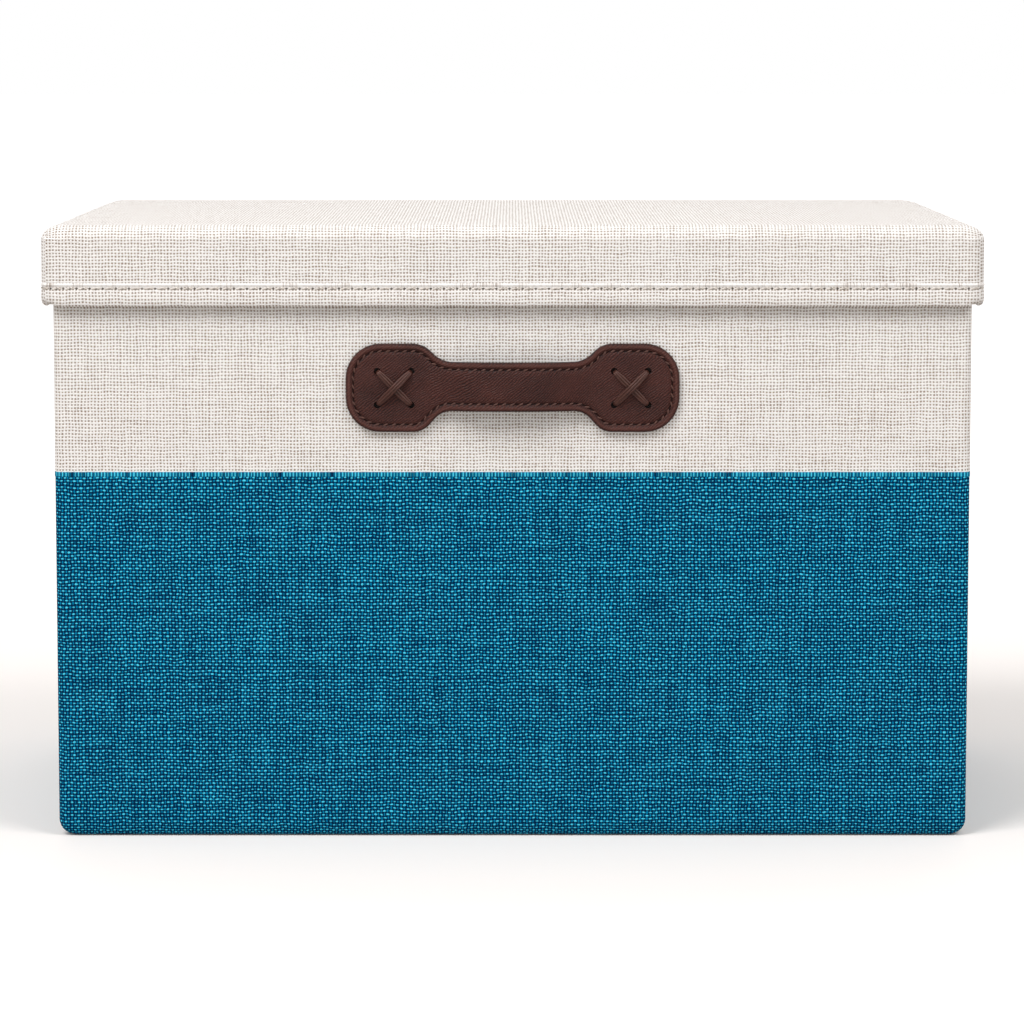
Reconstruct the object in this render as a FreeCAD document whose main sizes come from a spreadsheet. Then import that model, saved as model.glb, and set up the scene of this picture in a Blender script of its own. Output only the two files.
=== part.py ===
import FreeCAD, Part
import Sketcher
import math
import os

# Collapsible storage bin: board walls in woven cloth, a lift-off lid, two leather handles
# and a loose base board. Millimetres, +Z up, front at -Y, origin under the middle of the base.

Vector = FreeCAD.Vector
doc = FreeCAD.newDocument("storage_bin")

SIZES = {
    # body of the bin, over its cloth
    "body_length": 450,
    "body_depth": 300,
    "rim_height": 297.6,
    "colour_split": 182,
    "corner_radius": 3,
    # layers of a wall, from outside to inside
    "cover": 1.0,
    "wall_board": 2.2,
    "lining": 0.6,
    "rim_hem": 14,
    # bottom tray of cloth that the walls stand over
    "tray_height": 6,
    "tray_corner": 6,
    "tray_edge": 5.5,
    "wall_lift": 0.3,
    # play left for the cloth hinges and for loose pieces
    "crease_gap": 0.8,
    "corner_gap": 0.8,
    "seat_gap": 0.3,
    "stack_play": 0.4,
    # loose base board, its cloth wrap and its pull tape
    "base_core": 2.5,
    "base_wrap": 0.3,
    "base_side_play": 2.2,
    "base_corner": 4,
    "tape_thickness": 0.6,
    "tape_width": 25,
    "tape_length": 46,
    "tape_inset": 6,
    # lid
    "lid_skirt_play": 1.9,
    "lid_depth": 39,
    "lid_top_board": 2.5,
    "lid_side_board": 2.0,
    "lid_corner": 8,
    "lid_edge": 6.5,
    "lid_board_edge": 2.4,
    # leather handle, hung this far under the foot of the lid
    "lid_to_handle": 18.35,
    "handle_length": 163.5,
    "tab_height": 43.3,
    "tab_corner": 13.8,
    "neck_outer": 45,
    "neck_inner": 35.5,
    "neck_radius": 7,
    "strap_width": 24,
    "leather_face": 1.6,
    "leather_back": 1.4,
    "strap_bow": 7,
    "strap_foot": 38,
    "strap_crown": 17,
    "strap_bend": 60,
    # crossed cords that hold a handle, and the plates behind them
    "stitch_centre": 58,
    "stitch_span": 17.2,
    "cord_thickness": 2.6,
    "cord_play": 0.3,
    "cord_bend": 2,
    "cord_arch": 3.1,
    "cord_arch_bend": 12,
    "anchor_width": 30,
    "anchor_tall": 34,
    "anchor_thickness": 1.2,
}

sheet = doc.addObject("Spreadsheet::Sheet", "sizes")
for row, (alias, value) in enumerate(SIZES.items(), start=1):
    sheet.set("A%d" % row, alias)
    sheet.set("B%d" % row, str(value))
    sheet.setAlias("B%d" % row, alias)
doc.recompute()

# Sizes that follow from the sheet, as expressions
WALL = "(sizes.cover + sizes.wall_board + sizes.lining)"
BOARD_BACK = "(sizes.cover + sizes.wall_board)"
HALF_LENGTH = "(sizes.body_length / 2)"
HALF_DEPTH = "(sizes.body_depth / 2)"
WALL_FOOT = "(sizes.tray_height + sizes.wall_lift)"
BOARD_TOP = "(sizes.rim_height - sizes.cover)"
HEM_FOOT = "(sizes.rim_height - sizes.rim_hem)"
SIDE_END = f"({HALF_DEPTH} - {WALL} - sizes.corner_gap)"
CREASE = "(sizes.crease_gap / 2)"
STITCH_HALF = "(sizes.stitch_span / 2)"
HOLE_RADIUS = "(sizes.cord_thickness / 2 + sizes.cord_play)"
LEATHER = "(sizes.leather_face + sizes.leather_back)"
LID_LINING_IN = "sizes.lid_skirt_play"
LID_LINING_OUT = f"({LID_LINING_IN} + sizes.lining)"
LID_BOARD_OUT = f"({LID_LINING_OUT} + sizes.lid_side_board)"
LID_OUT = f"({LID_BOARD_OUT} + sizes.cover)"
LINING_UNDER = "(sizes.rim_height + sizes.seat_gap)"
LID_BOARD_UNDER = f"({LINING_UNDER} + sizes.lining)"
LID_COVER_UNDER = f"({LID_BOARD_UNDER} + sizes.lid_top_board)"
LID_TOP = f"({LID_COVER_UNDER} + sizes.cover)"
LID_FOOT = f"({LID_TOP} - sizes.lid_depth)"
LID_BOARD_FOOT = f"({LID_FOOT} + sizes.cover)"
SKIRT_TOP = f"({LID_TOP} - sizes.lid_edge)"
HANDLE_MIDDLE = f"({LID_FOOT} - sizes.lid_to_handle - sizes.tab_height / 2)"
HANDLE_FOOT = f"({HANDLE_MIDDLE} - sizes.tab_height / 2)"

# A bevel this share of the rounding inside a cloth edge leaves the cloth nearly even
INNER_EASE = 0.75

CORD_SIDES = 6
TINY = 0.01

UPWARDS = Vector(0, 0, 1)
TO_REAR, TO_FRONT = Vector(0, 1, 0), Vector(0, -1, 0)
TO_RIGHT, TO_LEFT = Vector(1, 0, 0), Vector(-1, 0, 0)

nodes = []


# Sketch and feature helpers


def sketch_on(body, role, name, lift="0"):
    """A sketch on one of the body's own origin planes, lifted along the plane's normal."""
    plane = next(f for f in body.Origin.OriginFeatures if f.Role == role)
    sketch = body.newObject("Sketcher::SketchObject", name)
    sketch.AttachmentSupport = [(plane, "")]
    sketch.MapMode = "FlatFace"
    sketch.setExpression("AttachmentOffset.Base.z", lift)
    return sketch


def constrain(sketch, rules):
    """Adds constraints in one go. A rule is a constraint, or one with the size that drives it."""
    pairs = [rule if isinstance(rule, tuple) else (rule, None) for rule in rules]
    first = sketch.ConstraintCount
    sketch.addConstraint([constraint for constraint, _ in pairs])
    for index, (_, expression) in enumerate(pairs, start=first):
        if expression is not None:
            sketch.setExpression("Constraints[%d]" % index, expression)


def at_place(shape, point, x, y):
    """Rules that hold a point of a shape at x, y."""
    return [
        (Sketcher.Constraint("DistanceX", -1, 1, shape, point, 0.0), x),
        (Sketcher.Constraint("DistanceY", -1, 1, shape, point, 0.0), y),
    ]


def mark_corners(sketch, corners):
    """Marks each corner by a construction circle of its rounding radius, or by a point."""
    marks, rules = [], []
    for x, y, radius in corners:
        if radius is None:
            mark = (sketch.addGeometry(Part.Point(Vector(0, 0, 0)), True), 1)
        else:
            circle = Part.Circle(Vector(0, 0, 0), Vector(0, 0, 1), 1.0)
            mark = (sketch.addGeometry(circle, True), 3)
            rules.append((Sketcher.Constraint("Radius", mark[0], 1.0), radius))
        rules += at_place(*mark, x, y)
        marks.append(mark)
    constrain(sketch, rules)
    return marks


def draw(sketch, corners, closed=True):
    """Draws an outline or a path through corners of (x, y, radius or None)."""
    marks = mark_corners(sketch, corners)
    sketch.recompute()
    count = len(corners)
    spots = [sketch.getPoint(*mark) for mark in marks]
    starts, ends, arcs = list(spots), list(spots), {}
    for i, (mark, at) in enumerate(marks):
        if at == 1:
            continue
        radius = sketch.Geometry[mark].Radius
        back = (spots[i - 1] - spots[i]).normalize()
        ahead = (spots[(i + 1) % count] - spots[i]).normalize()
        half = back.getAngle(ahead) / 2
        bisector = (back + ahead).normalize()
        middle = spots[i] + bisector * (radius / math.sin(half) - radius)
        ends[i] = spots[i] + back * (radius / math.tan(half))
        starts[i] = spots[i] + ahead * (radius / math.tan(half))
        arc = sketch.addGeometry(Part.Arc(ends[i], middle, starts[i]), False)
        forward = sketch.getPoint(arc, 1).distanceToPoint(ends[i]) < TINY
        arcs[i] = (arc, 1, 2) if forward else (arc, 2, 1)
    lines, rules = [], []
    for i in range(count if closed else count - 1):
        j = (i + 1) % count
        line = sketch.addGeometry(Part.LineSegment(starts[i], ends[j]), False)
        lines.append(line)
        for corner, at in ((i, 1), (j, 2)):
            if corner in arcs:
                rules.append(Sketcher.Constraint("PointOnObject", *marks[corner], line))
            else:
                rules.append(Sketcher.Constraint("Coincident", line, at, *marks[corner]))
    for i, (arc, incoming, outgoing) in arcs.items():
        rules.append(Sketcher.Constraint("Tangent", lines[i - 1], 2, arc, incoming))
        rules.append(Sketcher.Constraint("Tangent", arc, outgoing, lines[i], 1))
        rules.append(Sketcher.Constraint("Equal", arc, marks[i][0]))
    constrain(sketch, rules)
    return lines


def draw_box(sketch, left, right, low, high, radius=None):
    """Draws an upright rectangle, sharp or with rounded corners."""
    if radius is not None:
        draw(sketch, [(left, low, radius), (right, low, radius),
                      (right, high, radius), (left, high, radius)])
        return
    spots = [Vector(0, 0, 0), Vector(1, 0, 0), Vector(1, 1, 0), Vector(0, 1, 0)]
    lines = [sketch.addGeometry(Part.LineSegment(spots[i - 1], spots[i]), False)
             for i in range(4)]
    rules = [Sketcher.Constraint("Coincident", lines[i - 1], 2, lines[i], 1) for i in range(4)]
    rules += [Sketcher.Constraint("Vertical", lines[0]), Sketcher.Constraint("Vertical", lines[2])]
    rules += [Sketcher.Constraint("Horizontal", lines[i]) for i in (1, 3)]
    rules += at_place(lines[0], 2, left, low) + at_place(lines[2], 2, right, high)
    constrain(sketch, rules)


def draw_circle(sketch, x, y, radius):
    circle = sketch.addGeometry(Part.Circle(Vector(0, 0, 0), Vector(0, 0, 1), 1.0), False)
    constrain(sketch, [*at_place(circle, 3, x, y),
                       (Sketcher.Constraint("Radius", circle, 1.0), radius)])


def pad(body, sketch, length, name="Pad"):
    feature = body.newObject("PartDesign::Pad", name)
    feature.Profile = sketch
    feature.setExpression("Length", length)
    return feature


def pocket(body, sketch, length, name="Pocket"):
    """Cuts from the sketch along its plane's normal, and makes sure that it cuts something."""
    doc.recompute()
    before = body.Shape.Volume
    feature = body.newObject("PartDesign::Pocket", name)
    feature.Profile = sketch
    feature.Reversed = True
    feature.setExpression("Length", length)
    doc.recompute()
    if body.Shape.Volume > before - TINY:
        raise RuntimeError("%s cuts nothing in %s" % (name, body.Label))
    return feature


def ease_edges(body, wanted, size, name, kind="Fillet"):
    """Rounds or bevels the edges of the shape so far for which wanted(box, whole) is true."""
    doc.recompute()
    whole = body.Tip.Shape.BoundBox
    edges = [
        "Edge%d" % (i + 1)
        for i, edge in enumerate(body.Tip.Shape.Edges)
        if wanted(edge.BoundBox, whole)
    ]
    base = body.Tip
    feature = body.newObject("PartDesign::" + kind, name)
    feature.Base = (base, edges)
    feature.setExpression("Radius" if kind == "Fillet" else "Size", size)
    return feature


def outer_corner(box, whole):
    """An upright edge on the outer face of a wall, at either of its ends."""
    upright = box.XLength < TINY and box.YLength < TINY
    return upright and box.YMax < whole.YMin + TINY


def new_body(name):
    return doc.addObject("PartDesign::Body", name)


def keep(piece, name, place):
    """Gives a finished piece its node name, and turns it and moves it to its place."""
    piece.Label = name
    inwards, x, y = place
    turn = FreeCAD.Rotation(Vector(), inwards, UPWARDS, "ZYX")
    piece.Placement = FreeCAD.Placement(Vector(), turn)
    piece.setExpression("Placement.Base.x", x)
    piece.setExpression("Placement.Base.y", y)
    nodes.append(piece)


def stitch_spots():
    """The places of the eight cord holes of a handle, along the wall and up it."""
    for side in ("-", ""):
        for along in ("-", "+"):
            for up in ("-", "+"):
                x = f"{side}sizes.stitch_centre {along} {STITCH_HALF}"
                yield x, f"{HANDLE_MIDDLE} {up} {STITCH_HALF}"


def draw_pierced(sketch):
    """Eight square holes, as an awl leaves them in cloth and board."""
    for x, z in stitch_spots():
        draw_box(sketch, f"{x} - {HOLE_RADIUS}", f"{x} + {HOLE_RADIUS}",
                 f"{z} - {HOLE_RADIUS}", f"{z} + {HOLE_RADIUS}")


def stitch_holes(body, length):
    """Eight holes for the handle's cords, cut in from the outer face of a wall."""
    sketch = sketch_on(body, "XZ_Plane", "StitchHoles")
    draw_pierced(sketch)
    doc.recompute()
    before = body.Shape.Volume
    feature = body.newObject("PartDesign::Pocket", "CordHoles")
    feature.Profile = sketch
    feature.setExpression("Length", length)
    doc.recompute()
    if body.Shape.Volume > before - TINY:
        raise RuntimeError("no cord holes in " + body.Label)


# Walls. Each is drawn standing on the X axis with its outer face on y = 0 and its
# thickness towards +Y, and is then turned to its side of the bin.


def cloth_cover(name, place, start, end, low, high, at_rim, corners, handled):
    """The outer cloth of a wall, from low to high, wrapped round the board's ends."""
    body = new_body(name)
    outline = sketch_on(body, "XY_Plane", "Outline", low)
    draw_box(outline, start, end, "0", WALL)
    pad(body, outline, f"{high} - {low}")
    inner_start, inner_end = f"{start} + sizes.cover", f"{end} - sizes.cover"
    board_space = sketch_on(body, "XY_Plane", "BoardSpace", low)
    draw_box(board_space, inner_start, inner_end, "sizes.cover", BOARD_BACK)
    pocket(body, board_space, f"{BOARD_TOP if at_rim else high} - {low}", "BoardPocket")
    lining_space = sketch_on(body, "XY_Plane", "LiningSpace", low)
    draw_box(lining_space, inner_start, inner_end, BOARD_BACK, WALL)
    pocket(body, lining_space, f"{HEM_FOOT if at_rim else high} - {low}", "LiningPocket")
    if corners:
        ease_edges(body, outer_corner, "sizes.corner_radius", "CornerFillet")
    if handled:
        stitch_holes(body, "sizes.cover")
    keep(body, name, place)


def wall_board(name, place, start, end, corners, handled):
    """The stiff board inside a wall, with its corners rounded to carry the cloth."""
    body = new_body(name)
    outline = sketch_on(body, "XY_Plane", "Outline", WALL_FOOT)
    draw_box(outline, f"{start} + sizes.cover", f"{end} - sizes.cover", "sizes.cover", BOARD_BACK)
    pad(body, outline, f"{BOARD_TOP} - {WALL_FOOT}")
    if corners:
        ease_edges(body, outer_corner, "sizes.corner_radius - sizes.cover", "CornerFillet")
    if handled:
        recess = sketch_on(body, "XZ_Plane", "AnchorRecess", f"-{BOARD_BACK}")
        draw_anchor_plates(recess)
        pocket(body, recess, "sizes.anchor_thickness", "AnchorPocket")
        stitch_holes(body, BOARD_BACK)
    keep(body, name, place)


def draw_anchor_plates(sketch):
    for side in ("-", ""):
        left = f"{side}sizes.stitch_centre - sizes.anchor_width / 2"
        right = f"{side}sizes.stitch_centre + sizes.anchor_width / 2"
        low = f"{HANDLE_MIDDLE} - sizes.anchor_tall / 2"
        high = f"{HANDLE_MIDDLE} + sizes.anchor_tall / 2"
        draw_box(sketch, left, right, low, high)


def wall_lining(name, place, start, end):
    """The thin cloth that lines a wall, up to the hem of the outer cloth."""
    body = new_body(name)
    outline = sketch_on(body, "XY_Plane", "Outline", WALL_FOOT)
    draw_box(outline, f"{start} + sizes.cover", f"{end} - sizes.cover", BOARD_BACK, WALL)
    pad(body, outline, f"{HEM_FOOT} - {WALL_FOOT}")
    keep(body, name, place)


def wall(name, place, start, end, corners=False, handled=False):
    cloth_cover(name + "_cover_upper", place, start, end, "sizes.colour_split",
                "sizes.rim_height", True, corners, handled)
    cloth_cover(name + "_cover_lower", place, start, end, WALL_FOOT,
                "sizes.colour_split", False, corners, False)
    wall_board(name + "_board", place, start, end, corners, handled)
    wall_lining(name + "_lining", place, start, end)


# A place is the way that +Y of the piece points, and where its origin is
FRONT = (TO_REAR, "0", f"-{HALF_DEPTH}")
REAR = (TO_FRONT, "0", HALF_DEPTH)
LEFT = (TO_RIGHT, f"-{HALF_LENGTH}", "0")
RIGHT = (TO_LEFT, HALF_LENGTH, "0")
CENTRE = (TO_REAR, "0", "0")

wall("front", FRONT, f"-{HALF_LENGTH}", HALF_LENGTH, corners=True, handled=True)
wall("rear", REAR, f"-{HALF_LENGTH}", HALF_LENGTH, corners=True, handled=True)
wall("left_rear", LEFT, f"-{SIDE_END}", f"-{CREASE}")
wall("left_front", LEFT, CREASE, SIDE_END)
wall("right_rear", RIGHT, CREASE, SIDE_END)
wall("right_front", RIGHT, f"-{SIDE_END}", f"-{CREASE}")


# Handles. A strap of two sewn layers of leather lies flat at its ends and bows off the
# wall between them. Its outline is cut from a bent band as deep as the end tabs.


def handle_outline(name, draw_holes):
    """The outline of the leather seen from in front, with its cord holes, as a thick block."""
    body = new_body(name)
    front = sketch_on(body, "XZ_Plane", "Outline")
    middle = HANDLE_MIDDLE
    tab, strap = "sizes.tab_height / 2", "sizes.strap_width / 2"
    end = "sizes.handle_length / 2"
    right_half = [
        ("sizes.neck_inner", strap, "sizes.neck_radius"),
        ("sizes.neck_outer", tab, "sizes.neck_radius"),
        (end, tab, "sizes.tab_corner"),
    ]
    corners = [(x, f"{middle} + {z}", r) for x, z, r in right_half]
    corners += [(x, f"{middle} - {z}", r) for x, z, r in reversed(right_half)]
    corners += [(f"-{x}", f"{middle} - {z}", r) for x, z, r in right_half]
    corners += [(f"-{x}", f"{middle} + {z}", r) for x, z, r in reversed(right_half)]
    draw(front, corners)
    draw_holes(front)
    block = pad(body, front, f"4 * (sizes.strap_bow + {LEATHER})")
    block.SideType = "Symmetric"
    return body


def draw_punched(sketch):
    """Eight round holes, as a punch leaves them in the face leather."""
    for x, z in stitch_spots():
        draw_circle(sketch, x, z, HOLE_RADIUS)


def strap_path():
    """The wall side of the strap seen from above: flat tabs, rising bends and a flat crown."""
    path = doc.addObject("Sketcher::SketchObject", "strap_path")
    draw(path, [
        ("-sizes.handle_length / 2", "0", None),
        ("-sizes.strap_foot", "0", "sizes.strap_bend"),
        ("-sizes.strap_crown", "-sizes.strap_bow", "sizes.strap_bend"),
        ("sizes.strap_crown", "-sizes.strap_bow", "sizes.strap_bend"),
        ("sizes.strap_foot", "0", "sizes.strap_bend"),
        ("sizes.handle_length / 2", "0", None),
    ], closed=False)
    path.setExpression("Placement.Base.z", HANDLE_FOOT)
    return path


def ribbon(source, thickness, name):
    """The space between a line and its offset away from the wall."""
    strip = doc.addObject("Part::Offset2D", name)
    strip.Source = source
    strip.Mode = "Skin"
    strip.Fill = True
    strip.setExpression("Value", thickness)
    return strip


def bent_band(path, thickness, name):
    band = doc.addObject("Part::Extrusion", name)
    band.Base = ribbon(path, thickness, name + "_ribbon")
    band.DirMode = "Custom"
    band.Dir = UPWARDS
    band.Solid = True
    band.setExpression("LengthFwd", "sizes.tab_height")
    return band


def leather_bands():
    """The two bent layers of the strap, the back one against the wall and the face over it."""
    path = strap_path()
    both = bent_band(path, LEATHER, "both_bands")
    back = bent_band(path, "sizes.leather_back", "back_band")
    face = doc.addObject("Part::Cut", "face_band")
    face.Base = both
    face.Tool = back
    return {"back": back, "face": face}


def cord(number, over):
    """One diagonal cord: in through both its holes, and flat or arched over the leather."""
    body = new_body("cord_%d" % number)
    reach = "(sqrt(2) * sizes.stitch_span / 2)"
    top = f"-({LEATHER} + sizes.cord_thickness / 2 + sizes.cord_play / 2)"
    inside = BOARD_BACK
    middle = []
    if over:
        middle = [("0", f"{top} - sizes.cord_arch", "sizes.cord_arch_bend")]
    path = sketch_on(body, "XY_Plane", "Path")
    lines = draw(path, [
        (f"-{reach}", inside, None),
        (f"-{reach}", top, "sizes.cord_bend"),
        *middle,
        (reach, top, "sizes.cord_bend"),
        (reach, inside, None),
    ], closed=False)
    section = sketch_on(body, "XZ_Plane", "Section", f"-{inside}")
    radius = "sizes.cord_thickness / 2"
    draw(section, [
        (f"{radius} * cos({turn}) - {reach}", f"{radius} * sin({turn})", None)
        for turn in range(0, 360, 360 // CORD_SIDES)
    ])
    doc.recompute()
    pipe = body.newObject("PartDesign::AdditivePipe", "Cord")
    pipe.Profile = section
    pipe.Spine = (path, ["Edge%d" % (i + 1) for i in range(2 * len(lines) - 1)])
    side = "-" if number < 2 else ""
    tilt = -45 if over else 45
    turned = FreeCAD.Rotation(Vector(0, 1, 0), tilt)
    body.Placement = FreeCAD.Placement(Vector(0, 0, 0), turned)
    body.setExpression("Placement.Base.x", f"{side}sizes.stitch_centre")
    body.setExpression("Placement.Base.z", HANDLE_MIDDLE)
    return body


def anchor_plates():
    """Two stiff plates let into the back of the board, in which the cords end."""
    body = new_body("anchor_plates")
    body.AllowCompound = True
    plates = sketch_on(body, "XZ_Plane", "Plates", f"-{BOARD_BACK}")
    draw_anchor_plates(plates)
    draw_pierced(plates)
    pad(body, plates, "sizes.anchor_thickness")
    return body


outlines = {
    "back": handle_outline("back_outline", draw_pierced),
    "face": handle_outline("face_outline", draw_punched),
}
bands = leather_bands()
cords = [cord(0, False), cord(1, True), cord(2, False), cord(3, True)]
plates = anchor_plates()
for side, place in (("front", FRONT), ("rear", REAR)):
    for layer, band in bands.items():
        leather = doc.addObject("Part::MultiCommon", f"{side}_handle_{layer}")
        leather.Shapes = [band, outlines[layer]]
        keep(leather, f"{side}_handle_{layer}", place)
    group = doc.addObject("Part::Compound", f"{side}_handle_cords")
    group.Links = cords
    keep(group, f"{side}_handle_cords", place)
    pair = doc.addObject("Part::Compound", f"{side}_handle_anchors")
    pair.Links = [plates]
    keep(pair, f"{side}_handle_anchors", place)


# Bottom tray of blue cloth, sewn to the foot of the walls


def bottom_box(name, inset, foot, edge, kind):
    """A block with the tray's corners and eased foot edge, this far inside the bin's sides."""
    body = new_body(name)
    outline = sketch_on(body, "XY_Plane", "Outline", foot)
    across, along = f"({HALF_LENGTH} - {inset})", f"({HALF_DEPTH} - {inset})"
    draw_box(outline, f"-{across}", across, f"-{along}", along, f"sizes.tray_corner - {inset}")
    pad(body, outline, f"sizes.tray_height - {foot}")
    ease_edges(body, lambda box, whole: box.ZMax < whole.ZMin + TINY, edge, "FootEdge", kind)
    return body


def bottom_cover():
    tray = doc.addObject("Part::Cut", "bottom_cover")
    tray.Base = bottom_box("tray_block", "0", "0", "sizes.tray_edge", "Fillet")
    tray.Tool = bottom_box("tray_hollow", "sizes.cover", "sizes.cover",
                           f"{INNER_EASE} * (sizes.tray_edge - sizes.cover)", "Chamfer")
    keep(tray, "bottom_cover", CENTRE)


bottom_cover()


# Loose base board: board wrapped in lining cloth, with a tape to lift its front edge

BASE_FOOT = "(sizes.cover + sizes.seat_gap)"
BASE_THICKNESS = "(sizes.base_core + 2 * sizes.base_wrap)"
BASE_HALF_LENGTH = f"({HALF_LENGTH} - {WALL} - sizes.base_side_play)"
BASE_HALF_DEPTH = (f"({HALF_DEPTH} - {WALL} - sizes.stack_play - sizes.tape_thickness"
                   f" - {BASE_THICKNESS})")


def base_box(sketch, inset, radius):
    across, along = f"({BASE_HALF_LENGTH} - {inset})", f"({BASE_HALF_DEPTH} - {inset})"
    draw_box(sketch, f"-{across}", across, f"-{along}", along, radius)


def base_board():
    wrap = new_body("base_board_wrap")
    outline = sketch_on(wrap, "XY_Plane", "Outline", BASE_FOOT)
    base_box(outline, "0", "sizes.base_corner")
    pad(wrap, outline, BASE_THICKNESS)
    core = new_body("base_board_core")
    inner = sketch_on(core, "XY_Plane", "Outline", f"{BASE_FOOT} + sizes.base_wrap")
    base_box(inner, "sizes.base_wrap", "sizes.base_corner - sizes.base_wrap")
    pad(core, inner, "sizes.base_core")
    keep(core, "base_board_core", CENTRE)
    cloth = doc.addObject("Part::Cut", "base_board_cloth")
    cloth.Base = wrap
    cloth.Tool = core
    keep(cloth, "base_board_cloth", CENTRE)
    tape = new_body("base_pull_tape")
    strip = sketch_on(tape, "XY_Plane", "Outline", f"{BASE_FOOT} + {BASE_THICKNESS}")
    front = f"-{BASE_HALF_DEPTH} + sizes.tape_inset"
    draw_box(strip, "-sizes.tape_width / 2", "sizes.tape_width / 2", front,
             f"{front} + sizes.tape_length")
    pad(tape, strip, "sizes.tape_thickness")
    keep(tape, "base_pull_tape", CENTRE)


base_board()


# Lid: a top board and four skirt boards between a rounded cloth cover and a lining

def lid_box(sketch, out, radius):
    """A rounded box round the bin's walls, this far out from them."""
    across, along = f"({HALF_LENGTH} + {out})", f"({HALF_DEPTH} + {out})"
    draw_box(sketch, f"-{across}", across, f"-{along}", along, radius)


def lid_block(name, out, foot, top, edge, kind):
    """A block with the lid's corners and eased top edge, this far out from the walls."""
    body = new_body(name)
    outline = sketch_on(body, "XY_Plane", "Outline", foot)
    lid_box(outline, out, f"sizes.lid_corner - {LID_OUT} + {out}")
    pad(body, outline, f"{top} - {foot}")
    ease_edges(body, lambda box, whole: box.ZMin > whole.ZMax - TINY, edge, "TopEdge", kind)
    return body


def lid_cover():
    block = lid_block("lid_block", LID_OUT, LID_FOOT, LID_TOP, "sizes.lid_edge", "Fillet")
    mouth = sketch_on(block, "XY_Plane", "Mouth", LID_FOOT)
    lid_box(mouth, LID_LINING_IN, f"sizes.lid_corner - {LID_OUT} + {LID_LINING_IN}")
    pocket(block, mouth, "sizes.cover", "MouthPocket")
    shell = doc.addObject("Part::Cut", "lid_cover")
    shell.Base = block
    shell.Tool = lid_block("lid_hollow", LID_BOARD_OUT, LID_BOARD_FOOT, LID_COVER_UNDER,
                           f"{INNER_EASE} * (sizes.lid_edge - sizes.cover)", "Chamfer")
    keep(shell, "lid_cover", CENTRE)


def lid_top_board():
    body = new_body("lid_top_board")
    outline = sketch_on(body, "XY_Plane", "Outline", LID_BOARD_UNDER)
    inset = "(sizes.lid_edge - sizes.cover - sizes.lid_board_edge)"
    lid_box(outline, f"({LID_BOARD_OUT} - {inset})", f"sizes.lid_corner - sizes.cover - {inset}")
    pad(body, outline, "sizes.lid_top_board")
    ease_edges(body, lambda box, whole: box.ZMin > whole.ZMax - TINY, "sizes.lid_board_edge",
               "TopEdge", "Chamfer")
    keep(body, "lid_top_board", CENTRE)


def lid_skirt_board(name, place, half_run):
    """One upright board of the lid's skirt, drawn like a wall with its outer face on y = 0."""
    body = new_body(name)
    outline = sketch_on(body, "XY_Plane", "Outline", LID_BOARD_FOOT)
    run = f"({half_run} + {LID_OUT} - sizes.lid_corner)"
    draw_box(outline, f"-{run}", run, "0", "sizes.lid_side_board")
    pad(body, outline, f"{SKIRT_TOP} - {LID_BOARD_FOOT}")
    keep(body, name, place)


def lid_lining():
    body = new_body("lid_lining")
    outline = sketch_on(body, "XY_Plane", "Outline", LID_BOARD_FOOT)
    lid_box(outline, LID_LINING_OUT, f"sizes.lid_corner - {LID_OUT} + {LID_LINING_OUT}")
    pad(body, outline, f"{LID_BOARD_UNDER} - {LID_BOARD_FOOT}")
    hollow = sketch_on(body, "XY_Plane", "Hollow", LID_BOARD_FOOT)
    lid_box(hollow, LID_LINING_IN, f"sizes.lid_corner - {LID_OUT} + {LID_LINING_IN}")
    pocket(body, hollow, f"{LINING_UNDER} - {LID_BOARD_FOOT}", "HollowPocket")
    keep(body, "lid_lining", CENTRE)


lid_cover()
lid_top_board()
SKIRT_Y, SKIRT_X = f"({HALF_DEPTH} + {LID_BOARD_OUT})", f"({HALF_LENGTH} + {LID_BOARD_OUT})"
lid_skirt_board("lid_front_board", (TO_REAR, "0", f"-{SKIRT_Y}"), HALF_LENGTH)
lid_skirt_board("lid_rear_board", (TO_FRONT, "0", SKIRT_Y), HALF_LENGTH)
lid_skirt_board("lid_left_board", (TO_RIGHT, f"-{SKIRT_X}", "0"), HALF_DEPTH)
lid_skirt_board("lid_right_board", (TO_LEFT, SKIRT_X, "0"), HALF_DEPTH)
lid_lining()


# Every object has to be sound before anything is written

doc.recompute()
for item in doc.Objects:
    if "Invalid" in item.State or "Error" in item.State:
        raise RuntimeError("%s (%s) failed: %s" % (item.Name, item.Label, item.State))
for piece in nodes:
    if piece.Shape.isNull() or not piece.Shape.isValid() or not piece.Shape.Solids:
        raise RuntimeError("%s has no sound shape" % piece.Label)

os.makedirs("parts", exist_ok=True)
for piece in nodes:
    piece.Shape.exportStep("parts/%s.step" % piece.Label)
print("%d pieces written" % len(nodes))
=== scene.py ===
import math

import bmesh
import bpy
from mathutils import Matrix, Vector


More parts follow.
